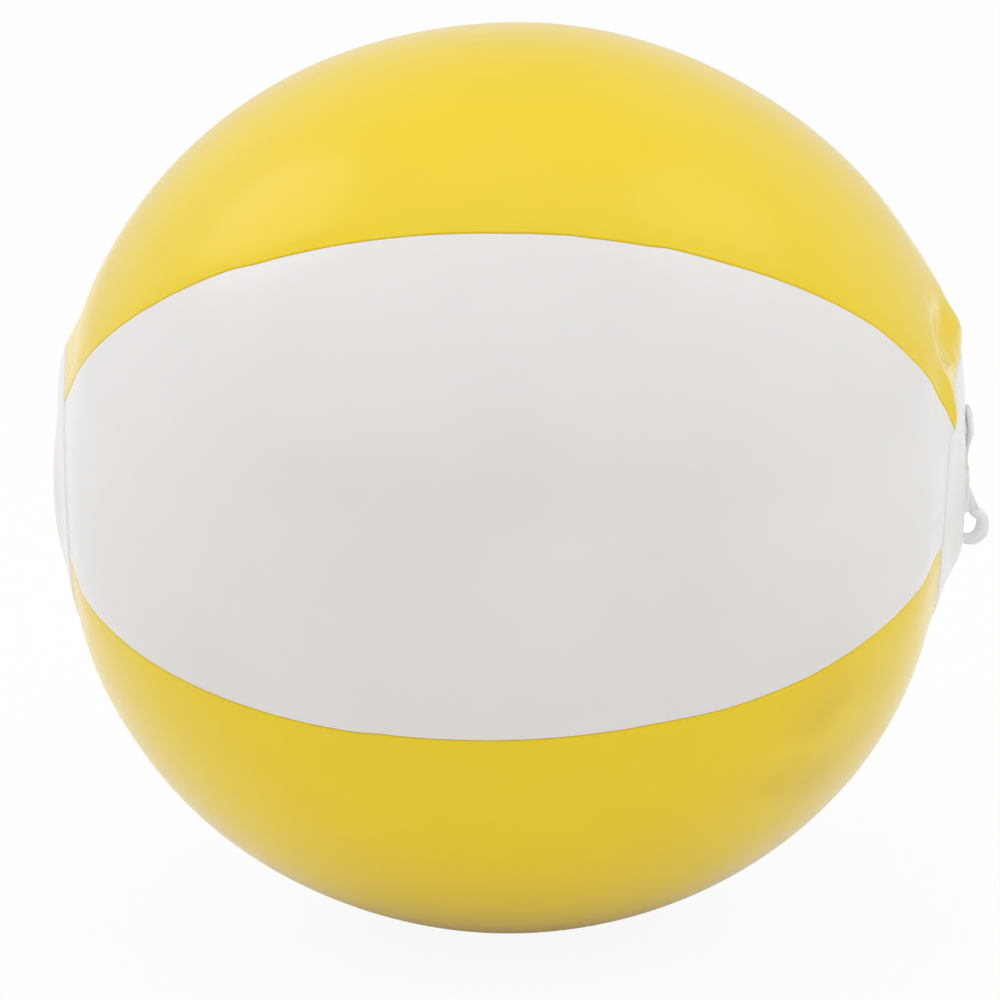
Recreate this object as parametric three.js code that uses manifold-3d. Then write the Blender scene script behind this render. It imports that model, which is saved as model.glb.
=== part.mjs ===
// Inflatable beach ball: six welded film panels, two pole caps and a push-in stopper valve.
// Millimetres, +Z up. The ball lies on its side: its pole axis runs along X, with the valve at +X.
// The origin is the middle of the flat that the floor presses into the lowest panel.
import * as THREE from 'three';
import { mergeVertices } from 'three/addons/utils/BufferGeometryUtils.js';
import Module from 'manifold-3d';

const wasm = await Module();
wasm.setup();

// Driving dimensions of the ball and its film
const BALL_DIAMETER = 235;
const FILM_THICKNESS = 0.25;
const PANEL_COUNT = 6;
const FRONT_PANEL_LIFT_DEG = 10.5; // middle of the front panel, above the horizon
const CONTACT_DIAMETER = 36; // flat where the ball rests
const WELD_GAP = 0.3; // room between pieces that are welded or seated together
const SEAM_FIN_DEPTH = 4; // welded edge of a panel, turned into the ball
const SEAM_DIP_DEPTH = 0.8; // how far a seam draws the film in
const SEAM_DIP_WIDTH = 9; // distance from the seam over which the film swells out again
const SEAM_DIP_FADE = 20; // distance from a cap's rim over which the dip begins
const PLAIN_CAP_DIAMETER = 75;
const VALVE_CAP_BORDER = 5; // film of the valve's cap between its flange and the panels' ends
const CAP_LAP = 6; // how far a cap covers the panels' ends
const VALVE_DROP_DEG = 1.7; // valve and its cap, welded on a little below the panels' pole

// Driving dimensions of the valve
const BORE_DIAMETER = 7;
const STEM_WALL = 2;
const AIRWAY_LENGTH = 7.5; // bore left free between the plug and the check flap
const STEM_SINK = 1.6; // stem's mouth below the cap's crown, while the valve is pushed in
const STEM_TRAVEL = 14; // from pushed in to pulled out
const LIP_RISE = 0.5;
const LIP_HEIGHT = 2.6;
const COLLAR_RISE = 1;
const COLLAR_HEIGHT = 1.2;
const DIAPHRAGM_THICKNESS = 0.6;
const RECESS_CLEARANCE = 2; // between the folded strap and the edge of the recess round the stem
const FLANGE_WIDTH = 6;
const FLANGE_THICKNESS = 0.8;
const HOLE_SETBACK = 1; // edge of the valve cap's hole, outside the flange's own edge
const FLAP_OVERLAP = 1.2;
const FLAP_THICKNESS = 0.6;
const FLAP_TONGUE_WIDTH = 4;

// Driving dimensions of the stopper
const PLUG_LENGTH = 8.5;
const PLUG_CLEARANCE = 0.3;
const PLUG_TAPER = 0.5;
const BEAD_AT = 0.25; // sealing bead, as a share of the plug's length from its tip
const WAIST_AT = 0.5;
const SHOULDER_AT = 0.8;
const HEAD_OVERHANG = 0.75;
const HEAD_THICKNESS = 1.6;
const HEAD_CHAMFER = 0.4;
const BOSS_SETBACK = 1.2; // strap's root, inside the head's edge
const BOSS_RUN = 6; // length of the ramp from the strap's root down to the head
const STRAP_WIDTH = 4;
const STRAP_THICKNESS = 2.6;
const STRAP_LOOP_RADIUS = 3.6; // to the middle of the strap
const STRAP_LOOP_REACH = 4; // middle of the loop, beyond the stem's lip
const STRAP_SLOPE_DEG = 28; // at which the strap leaves the head
const STRAP_LEAD = 2; // straight part of the strap next to the head
const TAB_LIFT = 0.3; // tab's underside above the cap
const NECK_LENGTH = 3.9;
const NECK_WIDTH = 5;
const NECK_THICKNESS = 1;
const GRIP_LENGTH = 11;
const GRIP_WIDTH = 8;
const GRIP_THICKNESS = 1.6;
const RIDGE_COUNT = 3;
const RIDGE_RADIUS = 0.35;

// Divisions of the curved surfaces
const PANEL_ROWS = 20;
const PANEL_COLUMNS = 10;
const FLOOR_PANEL_ROWS = 32;
const FLOOR_PANEL_COLUMNS = 16;
const CAP_STEPS = 5;
const FLANGE_STEPS = 2;
const DIAPHRAGM_STEPS = 7;
const STRAP_STEPS = 26;
const STRAP_LOOP_STEPS = 6;
const LATHE_SEGMENTS = 36;
const CURVE_SEGMENTS = 10;

// Ball: sizes that follow
const ballRadius = BALL_DIAMETER / 2;
const contactRadius = CONTACT_DIAMETER / 2;
const centreHeight = Math.sqrt(ballRadius ** 2 - contactRadius ** 2);
const panelHalfAngle = Math.PI / PANEL_COUNT;
const capInnerRadius = ballRadius + WELD_GAP;
const crown = capInnerRadius + FILM_THICKNESS; // outside of a cap, from the ball's centre

// Stopper and stem: sizes that follow, with heights along the pole axis from the ball's centre
const boreRadius = BORE_DIAMETER / 2;
const stemRadius = boreRadius + STEM_WALL;
const lipRadius = stemRadius + LIP_RISE;
const collarRadius = stemRadius + COLLAR_RISE;
const stemTop = crown - STEM_SINK;
const headUnderside = stemTop + WELD_GAP;
const headTop = headUnderside + HEAD_THICKNESS;
const headRadius = stemRadius + HEAD_OVERHANG;
const plugRadius = boreRadius - PLUG_CLEARANCE;
const plugTip = headUnderside - PLUG_LENGTH;
const stemBottom = plugTip - AIRWAY_LENGTH;

// Strap's loop, and the recess that it folds into
const strapSlope = THREE.MathUtils.degToRad(STRAP_SLOPE_DEG);
const strapRootHeight = stemTop - LIP_HEIGHT / 2;
const loopMiddle = point(-(lipRadius + STRAP_LOOP_REACH), strapRootHeight + STRAP_LOOP_RADIUS);
const loopReach = STRAP_LOOP_REACH + STRAP_LOOP_RADIUS + STRAP_THICKNESS / 2;
const diaphragmInner = collarRadius + WELD_GAP;
const diaphragmOuter = lipRadius + loopReach + RECESS_CLEARANCE;
const flangeInner = diaphragmOuter + WELD_GAP;
const flangeOuter = flangeInner + FLANGE_WIDTH;
const flangeHeight = axialHeight(ballRadius - FLANGE_THICKNESS / 2, flangeInner);
const collarHeight = flangeHeight - STEM_TRAVEL / 2;

// Caps, which cover the flange and the panels' ends
const holeRadius = flangeInner + HOLE_SETBACK;
const valveEndRadius = flangeOuter + VALVE_CAP_BORDER; // of the panels' ends round the valve
const valveCapRadius = valveEndRadius + CAP_LAP;
const plainCapRadius = PLAIN_CAP_DIAMETER / 2;
const plainEndRadius = plainCapRadius - CAP_LAP;

// Pull tab: its hinge beside the head, and the tilt that lays its grip along the cap
const neckHalf = NECK_THICKNESS / 2;
const gripHalf = GRIP_LENGTH / 2;
const hingeOut = headRadius + WELD_GAP + neckHalf;
const hingeHeight = headUnderside + HEAD_THICKNESS / 2;
const hingeToGrip = NECK_LENGTH + gripHalf;
const hingeDistance = Math.hypot(hingeOut, hingeHeight);
const tabTilt = Math.atan2(hingeOut, hingeHeight) + Math.asin(hingeToGrip / hingeDistance);

const yellowFilm = { color: 0xf0d02a, roughness: 0.28, metalness: 0 };
const whiteFilm = { color: 0xebe8e5, roughness: 0.3, metalness: 0 };
const clearVinyl = { color: 0xe3e6e8, roughness: 0.12, metalness: 0 };

function point(x, y) {
  return new THREE.Vector2(x, y);
}

// Height along the pole axis at which a sphere about the ball's centre is a given distance from the axis.
function axialHeight(sphereRadius, fromAxis) {
  return Math.sqrt(sphereRadius ** 2 - fromAxis ** 2);
}

function named(name, geometry, finish) {
  const mesh = new THREE.Mesh(geometry, new THREE.MeshStandardMaterial(finish));
  mesh.name = name;
  return mesh;
}

// Booleans

function solidOf(geometry) {
  const bare = geometry.clone();
  bare.deleteAttribute('normal');
  bare.deleteAttribute('uv');
  const merged = mergeVertices(bare);
  return new wasm.Manifold(
    new wasm.Mesh({
      numProp: 3,
      vertProperties: new Float32Array(merged.attributes.position.array),
      triVerts: new Uint32Array(merged.index.array),
    }),
  );
}

function geometryOf(solid) {
  const { vertProperties, triVerts } = solid.getMesh();
  const geometry = new THREE.BufferGeometry();
  geometry.setAttribute('position', new THREE.BufferAttribute(vertProperties, 3));
  geometry.setIndex(new THREE.BufferAttribute(triVerts, 1));
  geometry.computeVertexNormals();
  return geometry;
}

// Panels

// Point of the ball: polar is the angle from the valve's pole, round the angle about the pole axis
// from the front towards the top.
function ballPoint(distance, polar, round) {
  const fromAxis = distance * Math.sin(polar);
  return new THREE.Vector3(
    distance * Math.cos(polar),
    -fromAxis * Math.cos(round),
    centreHeight + fromAxis * Math.sin(round),
  );
}

// Outside of the film: the ball's sphere, drawn in along the seams but not under the caps.
function filmRadius(polar, fromSeam) {
  const fromValveRim = polar - Math.asin(valveCapRadius / ballRadius);
  const fromPlainRim = Math.PI - polar - Math.asin(plainCapRadius / ballRadius);
  const fromRim = Math.min(fromValveRim, fromPlainRim) * ballRadius;
  const along = THREE.MathUtils.smoothstep(fromRim, 0, SEAM_DIP_FADE);
  return ballRadius - SEAM_DIP_DEPTH * along * Math.exp(-((fromSeam / SEAM_DIP_WIDTH) ** 2));
}

// How far the floor lifts a point of the film that would reach below the given height.
function floorLift(position, height) {
  return Math.max(height - position.z, 0);
}

// Section of a panel at one polar angle: its outside, a fin, its inside and the other fin, in order.
function panelRing(middle, polar, columns) {
  const fromAxis = ballRadius * Math.sin(polar);
  const edge = panelHalfAngle - WELD_GAP / 2 / fromAxis;
  const innerEdge = edge - FILM_THICKNESS / fromAxis;
  const outside = [];
  const inside = [];
  for (let column = 0; column <= columns; column++) {
    const share = Math.sin((column / columns - 0.5) * Math.PI); // columns crowd towards the seams
    const radius = filmRadius(polar, (1 - Math.abs(share)) * edge * fromAxis);
    const outer = ballPoint(radius, polar, middle + share * edge);
    const inner = ballPoint(radius - FILM_THICKNESS, polar, middle + share * innerEdge);
    outer.z += floorLift(outer, 0);
    inner.z += floorLift(inner, FILM_THICKNESS);
    outside.push(outer);
    inside.push(inner);
  }
  const seamRadius = filmRadius(polar, 0);
  const fin = (side) => {
    const lift = floorLift(ballPoint(seamRadius, polar, middle + side * edge), 0);
    return [edge, innerEdge].map((angle) => {
      const tip = ballPoint(seamRadius - SEAM_FIN_DEPTH, polar, middle + side * angle);
      tip.z += lift;
      return tip;
    });
  };
  return [...outside, ...fin(1), ...inside.reverse(), ...fin(-1).reverse()];
}

function panelGeometry(middle, rows, columns) {
  const firstPolar = Math.asin(valveEndRadius / ballRadius);
  const lastPolar = Math.PI - Math.asin(plainEndRadius / ballRadius);
  const rings = [];
  for (let row = 0; row <= rows; row++) {
    const polar = THREE.MathUtils.lerp(firstPolar, lastPolar, row / rows);
    rings.push(panelRing(middle, polar, columns));
  }
  const around = rings[0].length;
  const index = [];
  const quad = (a, b, c, d) => index.push(a, b, c, a, c, d);
  for (let row = 0; row < rows; row++) {
    const here = row * around;
    const beyond = here + around;
    for (let k = 0; k < around; k++) {
      const next = (k + 1) % around;
      quad(here + k, here + next, beyond + next, beyond + k);
    }
  }
  // Each end is closed by a quad for every column and one for each fin.
  const last = rows * around;
  const endQuad = (a, b, c, d) => {
    quad(d, c, b, a);
    quad(last + a, last + b, last + c, last + d);
  };
  for (let column = 0; column <= columns; column++) {
    const opposite = around - 3 - column;
    endQuad(column, column + 1, opposite - 1, opposite);
  }
  endQuad(0, around - 3, around - 2, around - 1);
  const geometry = new THREE.BufferGeometry().setFromPoints(rings.flat());
  geometry.setIndex(index);
  geometry.computeVertexNormals();
  return geometry;
}

// Whether a panel reaches the flat under the ball, and so is divided more finely.
function meetsFloor(middle) {
  const fromStraightDown = Math.acos(-Math.sin(middle));
  return fromStraightDown < panelHalfAngle + contactRadius / ballRadius;
}

function panel(number) {
  const lift = THREE.MathUtils.degToRad(FRONT_PANEL_LIFT_DEG);
  const middle = lift + 2 * panelHalfAngle * (number - 1);
  const isWhite = number % 2 === 1;
  const geometry = meetsFloor(middle)
    ? panelGeometry(middle, FLOOR_PANEL_ROWS, FLOOR_PANEL_COLUMNS)
    : panelGeometry(middle, PANEL_ROWS, PANEL_COLUMNS);
  const name = `${isWhite ? 'white' : 'yellow'}_panel_${number}`;
  return named(name, geometry, isWhite ? whiteFilm : yellowFilm);
}

// Turned pieces: profiles give the distance from the pole axis and the height along it

function lathe(profile) {
  return new THREE.LatheGeometry(profile, LATHE_SEGMENTS);
}

// Ring, or disc if its inner radius is zero, between two spheres about the ball's centre.
function dome(innerRadius, outerRadius, lowSphere, highSphere, steps) {
  const low = [];
  const high = [];
  for (let step = 0; step <= steps; step++) {
    const radius = THREE.MathUtils.lerp(innerRadius, outerRadius, step / steps);
    low.push(point(radius, axialHeight(lowSphere, radius)));
    high.unshift(point(radius, axialHeight(highSphere, radius)));
  }
  const profile = [...low, ...high];
  if (innerRadius > 0) profile.push(low[0].clone());
  return lathe(profile);
}

function cap(name, innerRadius, outerRadius) {
  return named(name, dome(innerRadius, outerRadius, capInnerRadius, crown, CAP_STEPS), whiteFilm);
}

function valveFlange() {
  const underside = ballRadius - FLANGE_THICKNESS;
  const geometry = dome(flangeInner, flangeOuter, underside, ballRadius, FLANGE_STEPS);
  return named('valve_flange', geometry, clearVinyl);
}

// Thin funnel between the flange and the stem's collar, which rolls over when the stem is pulled out.
function valveDiaphragm() {
  const below = [];
  const above = [];
  const span = diaphragmOuter - diaphragmInner;
  const rise = flangeHeight - collarHeight;
  for (let step = 0; step <= DIAPHRAGM_STEPS; step++) {
    const share = step / DIAPHRAGM_STEPS;
    const turn = Math.PI * share;
    const middle = point(diaphragmInner + span * share, collarHeight + (rise * (1 - Math.cos(turn))) / 2);
    const along = point(span, (rise * Math.PI * Math.sin(turn)) / 2).normalize();
    const offset = point(-along.y, along.x).multiplyScalar(DIAPHRAGM_THICKNESS / 2);
    below.push(middle.clone().sub(offset));
    above.unshift(middle.clone().add(offset));
  }
  return named('valve_diaphragm', lathe([...below, ...above, below[0].clone()]), clearVinyl);
}

function valveStem() {
  const collarLow = collarHeight - COLLAR_HEIGHT / 2;
  const collarHigh = collarHeight + COLLAR_HEIGHT / 2;
  const lipLow = stemTop - LIP_HEIGHT;
  const profile = [
    point(boreRadius, stemBottom),
    point(stemRadius, stemBottom),
    point(stemRadius, collarLow),
    point(collarRadius, collarLow),
    point(collarRadius, collarHigh),
    point(stemRadius, collarHigh),
    point(stemRadius, lipLow),
    point(lipRadius, lipLow),
    point(lipRadius, stemTop),
    point(boreRadius, stemTop),
    point(boreRadius, stemBottom),
  ];
  return named('valve_stem', lathe(profile), clearVinyl);
}

// Shaped pieces of the valve: local Y is the pole axis, local Z is up

// Extrudes an outline drawn with z across and y up, evenly to both sides of the middle.
function acrossMiddle(outline, width) {
  const options = { depth: width, bevelEnabled: false, curveSegments: CURVE_SEGMENTS };
  const geometry = new THREE.ExtrudeGeometry(outline, options).translate(0, 0, -width / 2);
  const axes = [new THREE.Vector3(0, 0, 1), new THREE.Vector3(0, 1, 0), new THREE.Vector3(-1, 0, 0)];
  return geometry.applyMatrix4(new THREE.Matrix4().makeBasis(...axes));
}

// Extrudes an outline drawn with x across and z up, from the given height down along the pole axis.
function downFrom(height, outline, depth) {
  const options = { depth, bevelEnabled: false, curveSegments: CURVE_SEGMENTS };
  const geometry = new THREE.ExtrudeGeometry(outline, options);
  const axes = [new THREE.Vector3(1, 0, 0), new THREE.Vector3(0, 0, 1), new THREE.Vector3(0, -1, 0)];
  return geometry.applyMatrix4(new THREE.Matrix4().makeBasis(...axes)).translate(0, height, 0);
}

// Disc over the stem's inner end, with a tongue up to its hinge.
function checkFlap() {
  const flapRadius = boreRadius + FLAP_OVERLAP;
  const half = FLAP_TONGUE_WIDTH / 2;
  const tongueAngle = Math.acos(half / flapRadius);
  const outline = new THREE.Shape();
  outline.moveTo(half, stemRadius);
  outline.lineTo(-half, stemRadius);
  outline.absarc(0, 0, flapRadius, Math.PI - tongueAngle, 2 * Math.PI + tongueAngle, false);
  return named('check_flap', downFrom(stemBottom - WELD_GAP, outline, FLAP_THICKNESS), clearVinyl);
}

// Where the strap joins the head: the middle of that face, and the ways along and across the strap.
const strapAway = point(-Math.cos(strapSlope), Math.sin(strapSlope));
const strapAcross = point(Math.sin(strapSlope), Math.cos(strapSlope));
const strapFace = point(
  BOSS_SETBACK - headRadius,
  headTop + WELD_GAP + (strapAcross.y * STRAP_THICKNESS) / 2,
);

function stopperPlug() {
  const tipRadius = plugRadius - PLUG_TAPER;
  const profile = [
    point(0, plugTip),
    point(tipRadius, plugTip),
    point(plugRadius, plugTip + PLUG_LENGTH * BEAD_AT),
    point(tipRadius, plugTip + PLUG_LENGTH * WAIST_AT),
    point(plugRadius, plugTip + PLUG_LENGTH * SHOULDER_AT),
    point(plugRadius, headUnderside),
    point(headRadius, headUnderside),
    point(headRadius, headTop - HEAD_CHAMFER),
    point(headRadius - HEAD_CHAMFER, headTop),
    point(0, headTop),
  ];
  const high = strapFace.clone().addScaledVector(strapAcross, STRAP_THICKNESS / 2);
  const low = strapFace.clone().addScaledVector(strapAcross, -STRAP_THICKNESS / 2);
  const rooted = headUnderside + HEAD_THICKNESS / 2;
  const ramp = new THREE.Shape([
    high,
    low,
    point(low.x, rooted),
    point(high.x + BOSS_RUN, rooted),
    point(high.x + BOSS_RUN, headTop),
  ]);
  const solid = solidOf(lathe(profile)).add(solidOf(acrossMiddle(ramp, STRAP_WIDTH)));
  return named('stopper_plug', geometryOf(solid), clearVinyl);
}

// Strap from the stem's lip, round its loop, to the head.
function tetherStrap() {
  const path = [point(-(lipRadius + WELD_GAP), strapRootHeight)];
  const firstAngle = -Math.PI / 2;
  const lastAngle = -1.5 * Math.PI + strapSlope / 2;
  for (let step = 0; step <= STRAP_LOOP_STEPS; step++) {
    const angle = THREE.MathUtils.lerp(firstAngle, lastAngle, step / STRAP_LOOP_STEPS);
    const spoke = point(Math.cos(angle), Math.sin(angle));
    path.push(loopMiddle.clone().addScaledVector(spoke, STRAP_LOOP_RADIUS));
  }
  path.push(strapFace.clone().addScaledVector(strapAway, WELD_GAP + STRAP_LEAD));
  path.push(strapFace.clone().addScaledVector(strapAway, WELD_GAP));
  const curve = new THREE.CatmullRomCurve3(path.map(({ x, y }) => new THREE.Vector3(0, y, x)));

  const halfWidth = STRAP_WIDTH / 2;
  const halfThickness = STRAP_THICKNESS / 2;
  const corner = halfThickness / 2;
  const section = new THREE.Shape([
    point(halfWidth - corner, -halfThickness),
    point(halfWidth, -halfThickness + corner),
    point(halfWidth, halfThickness - corner),
    point(halfWidth - corner, halfThickness),
    point(corner - halfWidth, halfThickness),
    point(-halfWidth, halfThickness - corner),
    point(-halfWidth, -halfThickness + corner),
    point(corner - halfWidth, -halfThickness),
  ]);
  const options = { steps: STRAP_STEPS, extrudePath: curve, bevelEnabled: false };
  return named('tether_strap', new THREE.ExtrudeGeometry(section, options), clearVinyl);
}

// Tab drawn about the middle of its grip, where local Y passes through the ball's centre.
function pullTab() {
  const hinge = point(-hingeToGrip, Math.sqrt(hingeDistance ** 2 - hingeToGrip ** 2));
  const underside = crown + TAB_LIFT;
  const top = underside + GRIP_THICKNESS;
  const tipRadius = GRIP_THICKNESS / 2;
  const side = new THREE.Shape();
  side.moveTo(hinge.x, hinge.y - neckHalf);
  side.lineTo(-gripHalf, underside);
  side.absarc(gripHalf - tipRadius, underside + tipRadius, tipRadius, -Math.PI / 2, Math.PI / 2, false);
  side.lineTo(-gripHalf + tipRadius, top);
  side.absarc(hinge.x, hinge.y, neckHalf, Math.PI / 2, 1.5 * Math.PI, false);

  let body = solidOf(acrossMiddle(side, GRIP_WIDTH + NECK_WIDTH));
  const ridgePitch = GRIP_LENGTH / (RIDGE_COUNT + 2);
  for (let ridge = 0; ridge < RIDGE_COUNT; ridge++) {
    const along = (ridge - (RIDGE_COUNT - 1) / 2) * ridgePitch;
    const bar = new THREE.CylinderGeometry(RIDGE_RADIUS, RIDGE_RADIUS, GRIP_WIDTH / 2, CURVE_SEGMENTS);
    body = body.add(solidOf(bar.rotateZ(Math.PI / 2).translate(0, top, along)));
  }

  const gripOutline = new THREE.Shape();
  gripOutline.absellipse(0, 0, GRIP_WIDTH / 2, gripHalf, 0, 2 * Math.PI, false, 0);
  const neckOutline = new THREE.Shape([
    point(-NECK_WIDTH / 2, hinge.x - neckHalf - WELD_GAP),
    point(NECK_WIDTH / 2, hinge.x - neckHalf - WELD_GAP),
    point(NECK_WIDTH / 2, -gripHalf / 2),
    point(-NECK_WIDTH / 2, -gripHalf / 2),
  ]);
  const ceiling = top + 2 * RIDGE_RADIUS;
  const depth = ceiling - hinge.y + NECK_THICKNESS;
  const grip = solidOf(downFrom(ceiling, gripOutline, depth));
  const neck = solidOf(downFrom(ceiling, neckOutline, depth));
  return named('pull_tab', geometryOf(body.intersect(grip.add(neck))), clearVinyl);
}

// Assembly

// Frame with its Y axis along the pole axis, outwards from the ball's centre, and turned down by the drop.
function poleFrame(turn, drop) {
  const frame = new THREE.Group();
  frame.position.set(0, 0, centreHeight);
  frame.rotation.z = turn;
  frame.rotation.y = drop;
  return frame;
}

const valveEnd = poleFrame(-Math.PI / 2, THREE.MathUtils.degToRad(VALVE_DROP_DEG));
const tabFrame = new THREE.Group();
tabFrame.rotation.x = tabTilt;
tabFrame.add(pullTab());
valveEnd.add(cap('valve_cap', holeRadius, valveCapRadius), valveFlange(), valveDiaphragm(), valveStem());
valveEnd.add(checkFlap(), stopperPlug(), tetherStrap(), tabFrame);

const plainEnd = poleFrame(Math.PI / 2, 0);
plainEnd.add(cap('plain_cap', 0, plainCapRadius));

const ball = new THREE.Group();
ball.name = 'beach_ball';
for (let number = 1; number <= PANEL_COUNT; number++) ball.add(panel(number));
ball.add(valveEnd, plainEnd);

export default ball;
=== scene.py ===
import math
from typing import NamedTuple

import bmesh
import bpy
import numpy as np
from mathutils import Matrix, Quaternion, Vector


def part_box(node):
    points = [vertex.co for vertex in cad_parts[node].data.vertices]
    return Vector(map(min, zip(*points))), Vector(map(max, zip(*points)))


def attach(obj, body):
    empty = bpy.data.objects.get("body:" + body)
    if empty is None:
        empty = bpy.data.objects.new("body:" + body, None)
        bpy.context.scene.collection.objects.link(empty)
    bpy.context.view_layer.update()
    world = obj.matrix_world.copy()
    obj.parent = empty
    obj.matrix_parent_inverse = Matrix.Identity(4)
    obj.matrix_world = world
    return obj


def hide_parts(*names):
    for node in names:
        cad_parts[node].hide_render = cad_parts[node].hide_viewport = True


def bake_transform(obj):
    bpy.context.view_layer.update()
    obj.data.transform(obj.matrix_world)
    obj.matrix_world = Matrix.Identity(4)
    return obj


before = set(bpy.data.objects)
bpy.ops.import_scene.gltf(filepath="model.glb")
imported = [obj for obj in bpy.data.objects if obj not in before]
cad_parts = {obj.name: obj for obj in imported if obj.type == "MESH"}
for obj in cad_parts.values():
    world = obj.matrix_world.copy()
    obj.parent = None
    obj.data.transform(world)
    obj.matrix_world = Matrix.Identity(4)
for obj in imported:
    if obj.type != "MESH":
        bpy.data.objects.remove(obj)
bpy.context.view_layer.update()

# Lengths are in millimetres and become metres when a mesh is made. Heights in the valve are measured from
# the ball's centre along the valve's axis. Turns about the pole axis go from front to top to back. A pair
# named START holds two distances outside a cap's rim, between which a form of the film sets in.
MM = 0.001
RANDOM_SEED = 11

# Ball
FILM_THICKNESS = 0.25
WELD_GAP = 0.3
PANEL_COUNT = 6
FRONT_PANEL_LIFT_DEG = 10.5
VALVE_DROP_DEG = 1.7
FIN_DEPTH = 3.5
LIP_RADIUS = 0.5  # of the film where it turns into a seam
LIP_START = (0.0, 5.0)
SEAM_GAP = 0.03
SEAM_DIP = 0.3
SEAM_DIP_WIDTH = 2.6
SEAM_HOLLOW = 0.2
SEAM_HOLLOW_WIDTH = 10.0
SEAM_START = (-2.0, 16.0)  # of a seam's dip, hollow and puckers
SEAM_WANDER = 0.7
SEAM_WANDER_LENGTHS = (40, 150)
PUCKER_HEIGHT = 0.07
PUCKER_LENGTHS = (9, 24)
PUCKER_REACH = 6.0
WAVES_PER_SEAM = 4
WAVE_LENGTH_SPREAD = (0.85, 1.15)
WAVE_WEIGHTS = (0.5, 1.0)
WOBBLE_COUNT = 7
WOBBLE_HEIGHT = 0.1 / 3  # of each wave
WOBBLE_LENGTHS = (60, 120)
FLOOR_SOFTNESS = 0.4

# Swells and hollows of the blown-up ball: angle from the valve's pole, turn, height and width as an angle
SWELLS = (
    (33, 108, 2.7, 22), (21, 100, 1.8, 8), (25, -86, -2.4, 11), (19, -42, -0.9, 10),
    (19.8, 90, 2.4, 3.4), (19.5, 66, -1.2, 4), (101, 102, -0.6, 16), (143, 97, 1.1, 24),
    (164, 85, 1.3, 5), (130, -75, 0.8, 16),
)

# Stray of the front seams from a meridian, away from the white panel: angle from the valve's pole and shift
UPPER_SEAM_STRAY = (
    (15.5, -5.0), (17.2, -3.9), (19, -2.4), (25, -0.2), (38, 1.4),
    (61, 0.6), (68.5, 0.9), (70.5, 0.45), (77.5, 0.3), (80, 0.5),
    (87, 0.1), (117.5, 0.6), (121, 1.4), (134, 1.4), (164, 2.6),
)
LOWER_SEAM_STRAY = (
    (16, 0.0), (25, 0.7), (30, 0.5), (50, 2.0), (61, 1.8),
    (70, 0.8), (102, 0.7), (105, 1.2), (135, 1.5), (164, 1.0),
)

# Pole caps
CAP_LAP = 6.0
VALVE_END_RISE = (-0.48, 0.78, 1.42)  # of the rim over the sphere: level, tilt, and fall at front and back
PLAIN_END_RISE = (-0.05, 0.45, 2.2)
END_REACH = 14.0
VALVE_END_HOLLOW = (1.25, 12.0, 4.5)  # in the film above the rim: depth, distance from the rim and width
PLAIN_END_HOLLOW = (0.5, 9.0, 5.0)
VALVE_END_DOME = 0.3  # height of the middle of the cap over the sphere
PLAIN_END_DOME = -0.45
DOME_BLEND = (-18.0, -7.5)  # distances from the rim between which a cap goes over from its dome to its rim
CAP_EDGE = 0.8
CAP_BEDDING = 0.02
LAP_SINK = 0.15
LAP_SINK_INSET = 2.5  # distance inside the rim where the panels reach their full sink
EDGE_MARGIN = 0.1
WELD_BAND = 4.8
WELD_RIDGE_PITCH = 1.2
WELD_RIDGE_HEIGHT = 0.02
WELD_RIDGE_FADE = 0.6
FLANGE_WELD_MARGIN = 0.5

# Folds that run out from under a cap: ranges of their depths, widths and lengths
FOLDS_PER_PANEL = 7
FOLD_STRAY = 0.35  # as a share of their spacing
FOLD_DEPTHS = (0.04, 0.22)
FOLD_WIDTHS_DEG = (1.6, 3.4)
FOLD_LENGTHS = (7, 26)
FOLD_START = (-3.0, 1.0)

# Crease in the film above the valve's cap: angles from the valve's pole and turns along its crest
CREASE = ((14.6, 29), (16, 35), (17.4, 41.5), (18.9, 45), (21.1, 47.5), (22.5, 51), (24.5, 59), (27, 64))
CREASE_HEIGHT = 1.9
CREASE_FRONT_WIDTH = 4.0
CREASE_BACK_WIDTH = 8.0
CREASE_RISE = (0.0, 0.12)  # shares of the crest between which it rises
CREASE_FALL = (0.45, 1.0)  # shares of the crest between which it falls again
CREASE_ROUNDING = 0.2  # of the crest, as a share of the width
CREASE_START = (-2.5, 1.0)

# Valve
BORE_RADIUS = 3.5
STEM_RADIUS = 5.5
STEM_SINK = 1.6
STEM_TRAVEL = 14.0
STEM_ROUNDING = 0.4
AIRWAY_LENGTH = 7.5
LIP_RISE = 0.5
LIP_HEIGHT = 2.6
COLLAR_HEIGHT = 1.2
FLANGE_THICKNESS = 0.8
FLANGE_TAPER = 0.5  # how much thinner the flange is at its outer edge
FLANGE_TAPER_WIDTH = 2.5
HOLE_SETBACK = 1.0
DIAPHRAGM_THICKNESS = 0.6
DIAPHRAGM_EDGE_BEAD = 0.5  # how much thicker it is at its edges, as a share
DIAPHRAGM_COLLAR_LAP = 0.4
DIAPHRAGM_FLANGE_LAP = 0.2
FLAP_OVERLAP = 1.2
FLAP_THICKNESS = 0.6
FLAP_TONGUE_WIDTH = 4.0
FLAP_CHAMFER = 0.12
PLUG_LENGTH = 8.5
PLUG_CLEARANCE = 0.3
PLUG_TAPER = 0.5
PLUG_BULB = (0.25, 0.5, 0.8)  # shares of the length: widest place, waist and start of the straight part
PLUG_ROUNDING = 0.6
HEAD_THICKNESS = 1.6
HEAD_RIM_WIDTH = 1.6
HEAD_DISH_SLOPE = 0.6
HEAD_DISH_DEPTH = 0.35
STRAP_WIDTH = 4.0
STRAP_THICKNESS = 2.8
STRAP_ROOT = 0.6  # length of each end inside the piece that holds it
STRAP_LOOP_RADIUS = 3.6
STRAP_LOOP_REACH = 3.6
STRAP_SLOPE_DEG = 28.0
STRAP_LEAD = 0.5
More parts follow.
